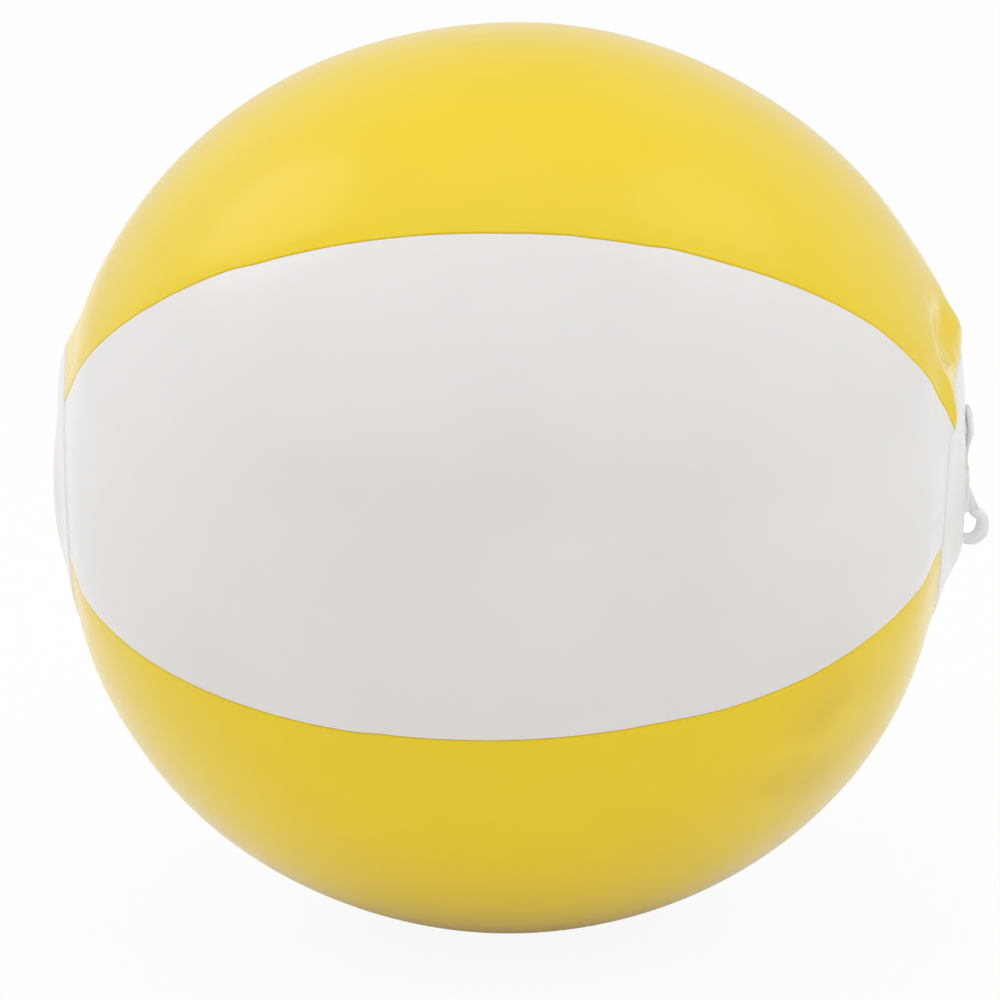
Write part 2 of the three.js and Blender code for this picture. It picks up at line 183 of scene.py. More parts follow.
STRAP_SHOULDER = (2.2, 0.2)  # of the loop towards the head: up and in from its far bend
STRAP_WAIST = 0.12  # how much narrower the strap is half way along, as a share
STRAP_BULGE = 0.35  # how much it thins before the far bend of its loop and thickens in it, as a share
STRAP_BULGE_START = 0.43  # share of its length
STRAP_SQUARENESS = (2.3, 4.0)  # of its section half way along and at its ends
BOSS_SETBACK = 1.2
BOSS_RUN = 6.0
BOSS_SINK = 0.2
BOSS_CHAMFER = (0.9, 0.9375)  # share of the half width where it starts, and size of the ends
NECK_LENGTH = 3.9
NECK_WIDTH = 5.0
NECK_THICKNESS = 1.0
NECK_ROOT = 1.6  # from the hinge back into the head
NECK_BEND = 0.4  # from the hinge to where the tab begins to bend
GRIP_LENGTH = 11.0
GRIP_WIDTH = 8.0
GRIP_THICKNESS = 1.9
GRIP_BLEND = 5.5
GRIP_SQUARENESS = 2.6  # of its outline
GRIP_SECTION_SQUARENESS = 3.2
GRIP_END_ROUNDING = 1.8
GRIP_TIP_WIDTH = 0.4
GRIP_TIP_THICKNESS = 0.08  # as a share of the grip's
TAB_LIFT = 0.2
TAB_BEND_REACH = (0.5, 1.5)  # of its bend over the hinge: inside the head's edge and beyond the hinge
RIDGE_COUNT = 3
RIDGE_PITCH = 2.4
RIDGE_SHIFT = 0.4
RIDGE_WIDTH = 0.5
RIDGE_HEIGHT = 0.3
RIDGE_REACH = 0.36  # share of the grip's width to each side

# Mesh divisions
PANEL_ROWS = 200
PANEL_COLUMNS = 60
ROW_CROWDING = 0.45  # towards the caps, from 0 to 1
COLUMN_CROWDING = 1.5  # towards the seams, from 1 up
LIP_STEPS = 5
CAP_SEGMENTS = 240
CAP_DOME_RINGS = 50
CAP_BAND_RINGS = 30
CAP_EDGE_RINGS = 7
CAP_UNDERSIDE_RINGS = 24
CAP_BAND_LEAD = 0.8  # from the weld band's first ring to the weld
CAP_BAND_STEP = 0.2  # from the dome's last ring to the weld band's first
LATHE_SEGMENTS = 96
FLANGE_RINGS = 12
DIAPHRAGM_RINGS = 40
FLAP_ARC_STEPS = 40
CURVE_STEPS = 24  # from point to point of a smooth path
STRAP_LOOP_POINTS = 9
STRAP_RINGS = 72
STRAP_SECTION_STEPS = 24
TAB_RINGS = 70
TAB_RING_CROWDING = 1.4  # towards the grip's end, from 1 up
TAB_SECTION_STEPS = 32
CORNER_SHARE = 0.45  # of a side that the rounding of its corner may take
SAME_PLACE = 1e-7  # metres
SMOOTH_BELOW_DEG = 50
STOPPER_SMOOTH_BELOW_DEG = 40

# Linear colours
YELLOW = (0.905, 0.668, 0.006)
WHITE = (0.84, 0.815, 0.8)
CLEAR = (0.97, 0.965, 0.97)

# Finish of the film: scales of noise per metre, and bounds of the noise that is put to use
CLOUD_SCALE = 26.0
CLOUD_BOUNDS = (0.3, 0.7)
CLOUD_SHADES = (0.98, 1.015)
SMEAR_SCALE = 38.0
SMEAR_BOUNDS = (0.35, 0.7)
SMEAR_ROUGHNESS = (0.2, 0.265)
RIPPLE_SCALE = 70.0
GRAIN_SCALE = 900.0

# Painted reflection on the lower yellow panel: a darker, cloudy patch put into the colour, standing in for
# the surroundings mirrored in the film
PAINTED_REFLECTION_AT = (80.0, -67.6, 63.3)
PAINTED_REFLECTION_REACH = 30.0
PAINTED_REFLECTION_CORE = 12.0
# colour of the painted reflection, darker than the yellow
PAINTED_REFLECTION_COLOUR = (0.835, 0.59, 0.007)
PAINTED_REFLECTION_SCALE = 48.0
PAINTED_REFLECTION_BOUNDS = (0.42, 0.66)

# Finish of the clear vinyl
MOULD_RIPPLE_SCALE = 420.0
MILK_SCALE = 260.0
MILK_BOUNDS = (0.3, 0.7)
MILK_ROUGHNESS = (0.08, 0.22)

# Light and floor: brightnesses are set against a white of 1, sizes are in metres
LAMP_DISTANCE = 1.2
LEFT_LAMP_WAY = (-0.672, 0.118, 0.731)
RIGHT_LAMP_WAY = (0.642, 0.022, 0.766)
LEFT_LAMP_RADIANCE = 0.97
RIGHT_LAMP_RADIANCE = 0.62
LEFT_LAMP_SIZE = 0.66
RIGHT_LAMP_SIZE = 0.68
TENT_FRONT_BACK = (0.2, 0.76)
TENT_DEPTH = (-0.92, 0.1)  # Y of the directions between which it goes over from front to back
TENT_TOP_SHARE = 0.63
TENT_HEIGHT = (0.2, 1.0)  # Z of the directions between which it goes over to its top
TENT_GLOW_EDGE = 0.55  # cosine of the angle at which a glow ends
TENT_MIRRORED = 0.45
FRONT_TENT_WAY = (0.0, -0.56, 0.83)
FRONT_TENT_EXTRA = 0.87
LEFT_TENT_EXTRA = 0.38
RIGHT_TENT_EXTRA = 0.36
FLOOR_REACH = 14.0
FLOOR_COLOUR = (0.9, 0.9, 0.9, 1.0)
FLOOR_GLOW = 0.92
FLOOR_GLOW_MIRRORED = (0.15, 0.92)  # near the ball and far off
FLOOR_NEAR_FAR = (0.5, 1.3)
PURE_WHITE = (1.0, 1.0, 1.0, 1.0)

# Camera, in the photograph's frame of 1000 by 1000 pixels
FRAME_PIXELS = 1000
LENS = 130.0
SENSOR = 36.0
CAMERA_DISTANCE = 0.937
CAMERA_AZIMUTH_DEG = 3.9
CAMERA_ELEVATION_DEG = 12.0
CAMERA_ROLL_DEG = 1.07
CENTRE_PIXEL = (509.5, 477.5)

# Sizes read from the frame
cap_low, cap_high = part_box("plain_cap")
valve_cap_low, valve_cap_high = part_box("valve_cap")
flange_low, flange_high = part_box("valve_flange")
stem_low, stem_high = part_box("valve_stem")
plug_low, plug_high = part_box("stopper_plug")
diaphragm_low, diaphragm_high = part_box("valve_diaphragm")
centre_height = (cap_low.z + cap_high.z) / 2 / MM
plain_cap_radius = (cap_high.y - cap_low.y) / 2 / MM
valve_cap_radius = (valve_cap_high.y - valve_cap_low.y) / 2 / MM
crown = -cap_low.x / MM
flange_outer = (flange_high.y - flange_low.y) / 2 / MM
diaphragm_outer = (diaphragm_high.y - diaphragm_low.y) / 2 / MM
collar_radius = (stem_high.y - stem_low.y) / 2 / MM
head_radius = (plug_high.y - plug_low.y) / 2 / MM

# Sizes that follow
ball_centre = Vector((0, 0, centre_height * MM))
ball_radius = crown - FILM_THICKNESS - WELD_GAP
half_angle = math.pi / PANEL_COUNT
valve_drop = math.radians(VALVE_DROP_DEG)
valve_axis = np.array((math.cos(valve_drop), 0, -math.sin(valve_drop)))
plain_axis = np.array((-1.0, 0, 0))
lip_radius = STEM_RADIUS + LIP_RISE
stem_top = crown - STEM_SINK
head_underside = stem_top + WELD_GAP
head_top = head_underside + HEAD_THICKNESS
plug_tip = head_underside - PLUG_LENGTH
stem_bottom = plug_tip - AIRWAY_LENGTH
flange_inner = diaphragm_outer + WELD_GAP
hole_radius = flange_inner + HOLE_SETBACK
flange_height = math.sqrt((ball_radius - FLANGE_THICKNESS / 2) ** 2 - flange_inner**2)
collar_height = flange_height - STEM_TRAVEL / 2

# The strap's end at the boss, as (up, along the axis)
strap_slope = math.radians(STRAP_SLOPE_DEG)
strap_away = np.array((-math.cos(strap_slope), math.sin(strap_slope)))
strap_across = np.array((math.sin(strap_slope), math.cos(strap_slope)))
strap_face_height = head_top + WELD_GAP + strap_across[1] * STRAP_THICKNESS / 2
strap_face = np.array((BOSS_SETBACK - head_radius, strap_face_height))

random = np.random.default_rng(RANDOM_SEED)


def smoothstep(low, high, value):
    share = np.clip((value - low) / (high - low), 0, 1)
    return share * share * (3 - 2 * share)


def bell(distance, width):
    return np.exp(-((distance / width) ** 2))


def waves(shortest, longest):
    """A fixed sum of sine waves along a line, within -1 to 1: their lengths, phases and weights."""
    even = np.geomspace(shortest, longest, WAVES_PER_SEAM)
    lengths = even * random.uniform(*WAVE_LENGTH_SPREAD, WAVES_PER_SEAM)
    weights = random.uniform(*WAVE_WEIGHTS, WAVES_PER_SEAM)
    phases = random.uniform(0, 2 * math.pi, WAVES_PER_SEAM)
    return lengths, phases, weights / weights.sum()


def wave_height(line, wave):
    return sum(weight * np.sin(2 * math.pi * line / length + phase) for length, phase, weight in zip(*wave))


# Meshes


def add_object(name, data):
    added = bpy.data.objects.new(name, data)
    bpy.context.scene.collection.objects.link(added)
    return added


def make_piece(name, points, faces, material, smooth_below=None):
    """A mesh object from points in millimetres in the frame, smooth where faces meet below an angle."""
    mesh = bpy.data.meshes.new(name)
    mesh.from_pydata((np.asarray(points, float).reshape(-1, 3) * MM).tolist(), [], faces)
    turned_out = bmesh.new()
    turned_out.from_mesh(mesh)
    bmesh.ops.recalc_face_normals(turned_out, faces=turned_out.faces)
    turned_out.to_mesh(mesh)
    turned_out.free()
    mesh.shade_smooth()
    if smooth_below is not None:
        mesh.set_sharp_from_angle(angle=math.radians(smooth_below))
    mesh.materials.append(material)
    return add_object(name, mesh)


def grid_faces(rows, columns, wrap_rows=False, wrap_columns=False):
    faces = []
    for row in range(rows if wrap_rows else rows - 1):
        here = row * columns
        beyond = (row + 1) % rows * columns
        for column in range(columns if wrap_columns else columns - 1):
            side = (column + 1) % columns
            faces.append((here + column, here + side, beyond + side, beyond + column))
    return faces


def ball_directions(polar, turn):
    """Unit vectors from the ball's centre: polar is the angle from the valve's pole."""
    polar, turn = np.broadcast_arrays(polar, turn)
    return np.stack((np.cos(polar), -np.sin(polar) * np.cos(turn), np.sin(polar) * np.sin(turn)), axis=-1)


def out_from_centre(directions, distance):
    return directions * np.asarray(distance)[..., None] + (0, 0, centre_height)


# Shape of the blown-up film


def wobble_wave():
    """A slow wave through the whole ball: its direction, length and phase."""
    way = random.normal(size=3)
    return way / np.linalg.norm(way), random.uniform(*WOBBLE_LENGTHS), random.uniform(0, 2 * math.pi)


def pole_folds():
    """Folds that run out from under a cap: where each is, how deep, how wide and how long."""
    count = PANEL_COUNT * FOLDS_PER_PANEL
    places = (np.arange(count) + random.uniform(-FOLD_STRAY, FOLD_STRAY, count)) * 2 * math.pi / count
    depths = random.uniform(*FOLD_DEPTHS, count)
    widths = np.radians(random.uniform(*FOLD_WIDTHS_DEG, count))
    lengths = random.uniform(*FOLD_LENGTHS, count)
    return list(zip(places, depths, widths, lengths))


class End(NamedTuple):
    """One end of the ball: the way it faces, its cap and how the film lies at the cap's rim."""

    axis: np.ndarray
    cap_radius: float
    hole_radius: float
    dome: float
    rise: tuple
    hollow: tuple
    folds: list


# The random draws come in this order.
seam_wander = [waves(*SEAM_WANDER_LENGTHS) for _ in range(PANEL_COUNT)]
seam_puckers = [waves(*PUCKER_LENGTHS) for _ in range(PANEL_COUNT)]
wobble = [wobble_wave() for _ in range(WOBBLE_COUNT)]
valve_end = End(
    axis=valve_axis,
    cap_radius=valve_cap_radius,
    hole_radius=hole_radius,
    dome=VALVE_END_DOME,
    rise=VALVE_END_RISE,
    hollow=VALVE_END_HOLLOW,
    folds=pole_folds(),
)
plain_end = End(
    axis=plain_axis,
    cap_radius=plain_cap_radius,
    hole_radius=0.0,
    dome=PLAIN_END_DOME,
    rise=PLAIN_END_RISE,
    hollow=PLAIN_END_HOLLOW,
    folds=pole_folds(),
)


def fold_depth(folds, turn, distance):
    """How deep the folds are at a turn about the pole axis and a distance outside the cap's rim."""
    depth = np.zeros(np.broadcast(turn, distance).shape)
    for place, deepest, width, length in folds:
        aside = (turn - place + math.pi) % (2 * math.pi) - math.pi
        depth += deepest * bell(aside, width) * np.exp(-np.maximum(distance, 0) / length)
    return depth * smoothstep(*FOLD_START, distance)


def from_rim(directions, end):
    """How far along the ball a direction lies outside the rim of an end's cap."""
    angle = np.arccos(np.clip(directions @ end.axis, -1, 1))
    return (angle - math.asin(end.cap_radius / ball_radius)) * ball_radius


def nearest_rim(directions):
    return np.minimum(from_rim(directions, valve_end), from_rim(directions, plain_end))


def off_dome(directions, end):
    """Share of the film's own shape in a cap: none in the middle of its dome, all of it near its rim."""
    low, high = DOME_BLEND
    return np.sin(math.pi / 2 * np.clip((from_rim(directions, end) - low) / (high - low), 0, 1))


def swell(directions):
    """How far the ball stands off its sphere in broad swells, with none in the middle of the valve's cap."""
    lift = np.zeros(directions.shape[:-1])
    for polar, turn, height, width in SWELLS:
        middle = ball_directions(math.radians(polar), math.radians(turn))
        angle = np.degrees(np.arccos(np.clip(directions @ middle, -1, 1)))
        lift += height * bell(angle, width)
    for way, length, phase in wobble:
        lift += WOBBLE_HEIGHT * np.sin(2 * math.pi * (ball_radius * directions @ way) / length + phase)
    return lift * off_dome(directions, valve_end)


def rim_rise(turn, rise):
    level, tilt, fall = rise
    return level + tilt * np.sin(turn) ** 3 - fall * np.cos(turn) ** 2


def crease(directions):
    """The crease above the valve's cap: a crest that falls off faster on its front than on its back."""
    crest = np.array([ball_directions(*np.radians(point))[1:] for point in CREASE]) * ball_radius
    places = directions[..., 1:] * ball_radius
    nearest = np.full(places.shape[:-1], np.inf)
    lift = np.zeros(places.shape[:-1])
    stretches = len(crest) - 1
    for index, (start, end) in enumerate(zip(crest, crest[1:])):
        way = end - start
        share = np.clip((places - start) @ way / (way @ way), 0, 1)
        aside = places - start - share[..., None] * way
        distance = np.linalg.norm(aside, axis=-1)
        is_front = aside @ np.array((-way[1], way[0])) > 0
        width = np.where(is_front, CREASE_FRONT_WIDTH, CREASE_BACK_WIDTH)
        along = (index + share) / stretches
        height = CREASE_HEIGHT * smoothstep(*CREASE_RISE, along) * (1 - smoothstep(*CREASE_FALL, along))
        here = height * np.exp(CREASE_ROUNDING - np.hypot(distance / width, CREASE_ROUNDING))
        lift = np.where(distance < nearest, here, lift)
        nearest = np.minimum(nearest, distance)
    return np.where(directions[..., 0] > 0, lift, 0.0)


def rim_film(directions, turn):
    """How the film rises or sinks towards the rims of the caps, with the hollows, folds and crease."""
    lift = crease(directions) * smoothstep(*CREASE_START, from_rim(directions, valve_end))
    for end in (valve_end, plain_end):
        distance = from_rim(directions, end)
        lift += rim_rise(turn, end.rise) * bell(np.maximum(distance, 0), END_REACH)
        depth, middle, width = end.hollow
        lift -= depth * np.maximum(np.sin(turn), 0) ** 3 * bell(distance - middle, width)
        lift -= fold_depth(end.folds, turn, distance)
    return lift


def film_lift(polar, turn, from_seam, seam):
    """How far a panel's outside stands off the ball's sphere, at a distance from one of its seams."""
    directions = ball_directions(polar, turn)
    distance = nearest_rim(directions)
    dip = SEAM_DIP * bell(from_seam, SEAM_DIP_WIDTH) + SEAM_HOLLOW * bell(from_seam, SEAM_HOLLOW_WIDTH)
    pucker = PUCKER_HEIGHT * wave_height(ball_radius * polar, seam_puckers[seam])
    along_seam = (pucker * np.exp(-from_seam / PUCKER_REACH) - dip) * smoothstep(*SEAM_START, distance)
    under_cap = 1 - smoothstep(-LAP_SINK_INSET, -CAP_EDGE - EDGE_MARGIN, distance)
    return swell(directions) + rim_film(directions, turn) + along_seam - LAP_SINK * under_cap


def rest_on_floor(points):
    """The film below the floor is pressed flat on it, with a soft edge."""
    points[..., 2] = (points[..., 2] + np.hypot(points[..., 2], FLOOR_SOFTNESS)) / 2
    return points


# Film panels


def seam_shift(seam, polar):
    """How far a seam lies off its meridian, in the way that turns grow."""
    degrees = np.degrees(polar)
    if seam == 1:
        return np.interp(degrees, *zip(*UPPER_SEAM_STRAY))
    if seam == 0:
        return -np.interp(degrees, *zip(*LOWER_SEAM_STRAY))
    return SEAM_WANDER * wave_height(ball_radius * polar, seam_wander[seam])


def panel_rows():
    """Angles of a panel's rows from the valve's pole, closer together towards the caps."""
    first = math.asin((valve_cap_radius - CAP_LAP) / ball_radius)
    last = math.pi - math.asin((plain_cap_radius - CAP_LAP) / ball_radius)
    even = np.linspace(-1, 1, PANEL_ROWS + 1)
    spread = (1 - ROW_CROWDING) * even + ROW_CROWDING * np.sin(even * math.pi / 2)
    return ((first + last) / 2 + (last - first) / 2 * spread)[:, None]


def half_panel(number, side, polar):
    """Points of a panel from one of its seams to its middle, row by row: fin, lip and open film."""
    middle = math.radians(FRONT_PANEL_LIFT_DEG) + 2 * half_angle * (number - 1)
    seam = (number - 1 if side < 0 else number) % PANEL_COUNT
    shift = seam_shift(seam, polar)
    from_axis = ball_radius * np.sin(polar)
    half_width = from_axis * half_angle

    def turn_at(from_seam):
        fade = 1 - smoothstep(0, half_width, from_seam)
        return middle + (side * (half_width - from_seam) + shift * fade) / from_axis

    even = np.linspace(0, 1, PANEL_COLUMNS // 2 + 1)
    from_seam = LIP_RADIUS + (half_width - LIP_RADIUS) * even**COLUMN_CROWDING
    turn = turn_at(from_seam)
    open_distance = ball_radius + film_lift(polar, turn, from_seam, seam)
    open_film = out_from_centre(ball_directions(polar, turn), open_distance)

    fin_depth = np.array((FIN_DEPTH, FIN_DEPTH / 3))  # at its tip and near the lip
    bend = np.linspace(math.pi / 2, 0, LIP_STEPS, endpoint=False)
    grown = smoothstep(*LIP_START, nearest_rim(ball_directions(polar, turn[:, :1])))
    lip_depth = LIP_RADIUS * (1 - np.cos(bend)) * grown
    edge_depth = np.concatenate((fin_depth + 0 * polar, lip_depth), axis=1)
    edge_from_seam = SEAM_GAP / 2 + np.concatenate((0 * fin_depth, LIP_RADIUS * (1 - np.sin(bend))))
    edge_directions = ball_directions(polar, turn_at(edge_from_seam))
    edge = out_from_centre(edge_directions, open_distance[:, :1] - edge_depth)
    return np.concatenate((edge, open_film), axis=1)


def film_panel(number, material):
    """A panel of film, from the fin at one seam to the fin at the other."""
    name = f"{'white' if number % 2 else 'yellow'}_panel_{number}"
    polar = panel_rows()
    left = half_panel(number, -1, polar)
    right = half_panel(number, 1, polar)
    middle_line = (left[:, -1:] + right[:, -1:]) / 2
    points = np.concatenate((left[:, :-1], middle_line, right[:, -2::-1]), axis=1)
    points = rest_on_floor(points)
    piece = make_piece(name + "_film", points, grid_faces(*points.shape[:2]), material)
    shell = piece.modifiers.new("thickness", "SOLIDIFY")
    shell.thickness = FILM_THICKNESS * MM
    shell.offset = -1
    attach(piece, "ball")
    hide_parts(name)
    return piece


# Pole caps


def weld_ridges(radius, low, high):
    begun = smoothstep(low, low + WELD_RIDGE_FADE, radius)
    ended = smoothstep(high - WELD_RIDGE_FADE, high, radius)
    return WELD_RIDGE_HEIGHT * begun * (1 - ended) * np.cos(2 * math.pi * (radius - low) / WELD_RIDGE_PITCH)


def around_end(end, radius):
    """Directions in rings about an end's axis, at distances from that axis."""
    turn = np.linspace(0, 2 * math.pi, CAP_SEGMENTS, endpoint=False)[None, :]
    ahead, aside, up = np.moveaxis(ball_directions(np.arcsin(radius / ball_radius)[:, None], turn), -1, 0)
    forward, rise = end.axis[0], end.axis[2]
    return np.stack((ahead * forward - up * rise, aside, up * abs(forward) + ahead * rise), axis=-1)


def cap_lift(end, directions):
    """How far the underside of a cap stands off the ball's sphere: a dome that goes over to the rim."""
    turn = np.arctan2(directions[..., 2], -directions[..., 1])
    share = off_dome(directions, end)
    return swell(directions) + share * rim_film(directions, turn) + (1 - share) * end.dome + CAP_BEDDING


def edge_fall(distance):
    """How far the film's outside falls within the last stretch before its cut edge."""
    share = np.clip(1 - distance / CAP_EDGE, 0, 1)
    return (FILM_THICKNESS + 2 * CAP_BEDDING) * share**2


def pole_cap(node, end, material):
    """A cap in rings about its axis: out to its rim along the outside, then back along the underside."""
    reach = end.cap_radius
    hole = end.hole_radius
    edge = np.linspace(CAP_EDGE, 0, CAP_EDGE_RINGS)
    band = reach - WELD_BAND - CAP_BAND_LEAD
    dome_rings = np.linspace(hole + CAP_EDGE, band - CAP_BAND_STEP, CAP_DOME_RINGS)
    band_rings = np.linspace(band, reach - CAP_EDGE - EDGE_MARGIN, CAP_BAND_RINGS)
    outer = np.concatenate((dome_rings, band_rings, reach - edge))
    inner = np.linspace(reach - CAP_EDGE, hole + CAP_EDGE, CAP_UNDERSIDE_RINGS)
    if hole:
        outer = np.concatenate((hole + edge[:0:-1], outer))
    else:
        outer[0] = 0.0
        inner[-1] = 0.0
    lift = FILM_THICKNESS - edge_fall(reach - outer) + weld_ridges(outer, reach - WELD_BAND, reach - CAP_EDGE)
    if hole:
        flange_weld_end = flange_outer - FLANGE_WELD_MARGIN
        lift = lift - edge_fall(outer - hole) + weld_ridges(outer, hole + CAP_EDGE, flange_weld_end)
    lift = np.concatenate((lift, np.zeros(len(inner))))[:, None]
    directions = around_end(end, np.concatenate((outer, inner)))
    points = out_from_centre(directions, ball_radius + cap_lift(end, directions) + lift)
    faces = grid_faces(*points.shape[:2], hole > 0, True)
    piece = make_piece(node + "_film", points, faces, material, SMOOTH_BELOW_DEG)
    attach(piece, "ball")
    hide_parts(node)
    return piece


# Valve


def valve_points(side, axial, up):
    """Points of the valve: side is across to the back, axial along the valve's axis, up across to its top."""
    side, axial, up = np.broadcast_arrays(side, axial, up)
    x = axial * math.cos(valve_drop) + up * math.sin(valve_drop)
    z = centre_height - axial * math.sin(valve_drop) + up * math.cos(valve_drop)
    return np.stack((x, side, z), axis=-1)


def valve_place(axial, up):
    """A point in the middle plane of the valve, in metres."""
    return Vector(valve_points(0.0, axial, up) * MM)


def rounded(corners, radius, steps):
    """A closed outline with each corner off the axis rounded, as far as its sides allow."""
    corners = np.array(corners, float)
    outline = []
    for before, here, after in zip(np.roll(corners, 1, axis=0), corners, np.roll(corners, -1, axis=0)):
        if here[0] == 0:
            outline.append(here)
            continue
        to_before, to_after = before - here, after - here
        before_length, after_length = np.linalg.norm(to_before), np.linalg.norm(to_after)
        reach = min(radius, CORNER_SHARE * before_length, CORNER_SHARE * after_length)
        start = here + to_before / before_length * reach
        end = here + to_after / after_length * reach
        for share in np.linspace(0, 1, steps + 1):
            outline.append((1 - share) ** 2 * start + 2 * share * (1 - share) * here + share**2 * end)
    return np.array(outline)


def turned(name, outline, material):
    """A piece turned about the valve's axis from a closed outline of (from axis, along axis)."""
    turn = np.linspace(0, 2 * math.pi, LATHE_SEGMENTS, endpoint=False)
    from_axis, along = outline.T[:, :, None]
    points = valve_points(-from_axis * np.cos(turn), along, from_axis * np.sin(turn))
    faces = grid_faces(len(outline), LATHE_SEGMENTS, True, True)
    piece = make_piece(name, points, faces, material, SMOOTH_BELOW_DEG)
    weld = bmesh.new()
    weld.from_mesh(piece.data)
    bmesh.ops.remove_doubles(weld, verts=weld.verts, dist=SAME_PLACE)
    bmesh.ops.dissolve_degenerate(weld, edges=weld.edges, dist=SAME_PLACE)
    weld.to_mesh(piece.data)
    weld.free()
    return piece


def loft(name, rings, material):
    """A closed piece through rings of points, with its ends filled."""
    rings = np.asarray(rings)
    count, around = rings.shape[:2]
    faces = grid_faces(count, around, False, True)
    faces.append(tuple(range(around)))
    faces.append(tuple(range((count - 1) * around, count * around)))
    return make_piece(name, rings, faces, material, SMOOTH_BELOW_DEG)


def pillow_ring(half_width, half_thickness, steps, squareness):
    """A section with full sides and soft corners: across and up."""
    turn = np.linspace(0, 2 * math.pi, steps, endpoint=False)
    across = np.sign(np.cos(turn)) * np.abs(np.cos(turn)) ** (2 / squareness)
    up = np.sign(np.sin(turn)) * np.abs(np.sin(turn)) ** (2 / squareness)
    return half_width * across, half_thickness * up


def valve_flange(material):
    """The ring under the valve's cap, which lies close against the cap."""
    radius = np.linspace(diaphragm_outer, flange_outer, FLANGE_RINGS)
    taper = FLANGE_TAPER * smoothstep(flange_outer - FLANGE_TAPER_WIDTH, flange_outer, radius)
    depth = np.concatenate((np.zeros(FLANGE_RINGS), (FLANGE_THICKNESS - taper)[::-1]))
    directions = around_end(valve_end, np.concatenate((radius, radius[::-1])))
    points = out_from_centre(directions, ball_radius + cap_lift(valve_end, directions) - depth[:, None])
    faces = grid_faces(*points.shape[:2], True, True)
    piece = make_piece("valve_flange_ring", points, faces, material, SMOOTH_BELOW_DEG)
    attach(piece, "ball")
    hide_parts("valve_flange")
    return piece


def valve_diaphragm(material):
    """The thin funnel between the flange and the stem's collar, which rolls over as the stem moves."""
    share = np.linspace(0, 1, DIAPHRAGM_RINGS)
    inner = collar_radius - DIAPHRAGM_COLLAR_LAP
    outer = flange_inner + DIAPHRAGM_FLANGE_LAP
    radius = inner + (outer - inner) * share
    height = collar_height + (flange_height - collar_height) * (1 - np.cos(math.pi * share)) / 2
    slope = np.gradient(height, radius)
    across = np.stack((-slope, np.ones_like(slope)), 1) / np.hypot(slope, 1)[:, None]
    thick = DIAPHRAGM_THICKNESS * (1 + DIAPHRAGM_EDGE_BEAD * np.abs(2 * share - 1) ** 4)[:, None]
    middle = np.stack((radius, height), 1)
    outline = np.concatenate((middle + across * thick / 2, (middle - across * thick / 2)[::-1]))
    piece = turned("valve_diaphragm_funnel", outline, material)
    valve_place(flange_height, 0)
    valve_place(collar_height, 0)
    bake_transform(piece)
    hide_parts("valve_diaphragm")
    return piece


def valve_stem(material):
    """The tube that the stopper closes, with its collar for the diaphragm and its lip."""
    collar_low = collar_height - COLLAR_HEIGHT / 2
    collar_high = collar_height + COLLAR_HEIGHT / 2
    lip_low = stem_top - LIP_HEIGHT
    corners = [
        (BORE_RADIUS, stem_bottom),
        (STEM_RADIUS, stem_bottom),
        (STEM_RADIUS, collar_low),
        (collar_radius, collar_low),
        (collar_radius, collar_high),
        (STEM_RADIUS, collar_high),
        (STEM_RADIUS, lip_low),
        (lip_radius, lip_low),
        (lip_radius, stem_top),
        (BORE_RADIUS, stem_top),
    ]
    piece = turned("valve_stem_tube", rounded(corners, STEM_ROUNDING, steps=4), material)
    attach(piece, "stem")
    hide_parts("valve_stem")
    return piece


def check_flap(material):
    """The flap under the stem, a disc with a tongue at the top where it is hinged."""
    flap_radius = BORE_RADIUS + FLAP_OVERLAP
    half = FLAP_TONGUE_WIDTH / 2
    tongue_angle = math.acos(half / flap_radius)
    arc = np.linspace(math.pi - tongue_angle, 2 * math.pi + tongue_angle, FLAP_ARC_STEPS)
    side = np.concatenate((flap_radius * np.cos(arc), [half, -half]))
    up = np.concatenate((flap_radius * np.sin(arc), [STEM_RADIUS, STEM_RADIUS]))
    high = stem_bottom - WELD_GAP
    shrunk = 1 - FLAP_CHAMFER / flap_radius
    depths = (0, FLAP_CHAMFER, FLAP_THICKNESS - FLAP_CHAMFER, FLAP_THICKNESS)
    rings = []
    for depth, size in zip(depths, (shrunk, 1, 1, shrunk)):
        rings.append(valve_points(side * size, high - depth, up * size))
    piece = loft("check_flap_disc", rings, material)
    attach(piece, "flap")
    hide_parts("check_flap")
    return piece


def stopper_boss(material):
    """The boss that carries the strap's end up from the head, drawn from its side as (up, along the axis)."""
    high = strap_face + strap_across * STRAP_THICKNESS / 2
    low = strap_face - strap_across * STRAP_THICKNESS / 2
    rooted = head_underside + HEAD_THICKNESS / 2
    run_end = high[0] + BOSS_RUN
    side = np.array((high, low, (low[0], rooted), (run_end, rooted), (run_end, head_top - BOSS_SINK)))
    middle = side.mean(0)
    chamfer_start, end_size = BOSS_CHAMFER
    rings = []
    for across, size in ((-1, end_size), (-chamfer_start, 1), (chamfer_start, 1), (1, end_size)):
        up, along = (middle + (side - middle) * size).T
        rings.append(valve_points(across * STRAP_WIDTH / 2, along, up))
    return loft("stopper_boss", rings, material)


def join(piece, other):
    """Makes one closed piece of two that overlap, and removes the other."""
    union = piece.modifiers.new("union", "BOOLEAN")
    union.operation = "UNION"
    union.solver = "EXACT"
    union.object = other
    depsgraph = bpy.context.evaluated_depsgraph_get()
    joined = bpy.data.meshes.new_from_object(piece.evaluated_get(depsgraph))
    piece.modifiers.clear()
    piece.data = joined
    piece.data.shade_smooth()
    piece.data.set_sharp_from_angle(angle=math.radians(STOPPER_SMOOTH_BELOW_DEG))
    bpy.data.objects.remove(other)


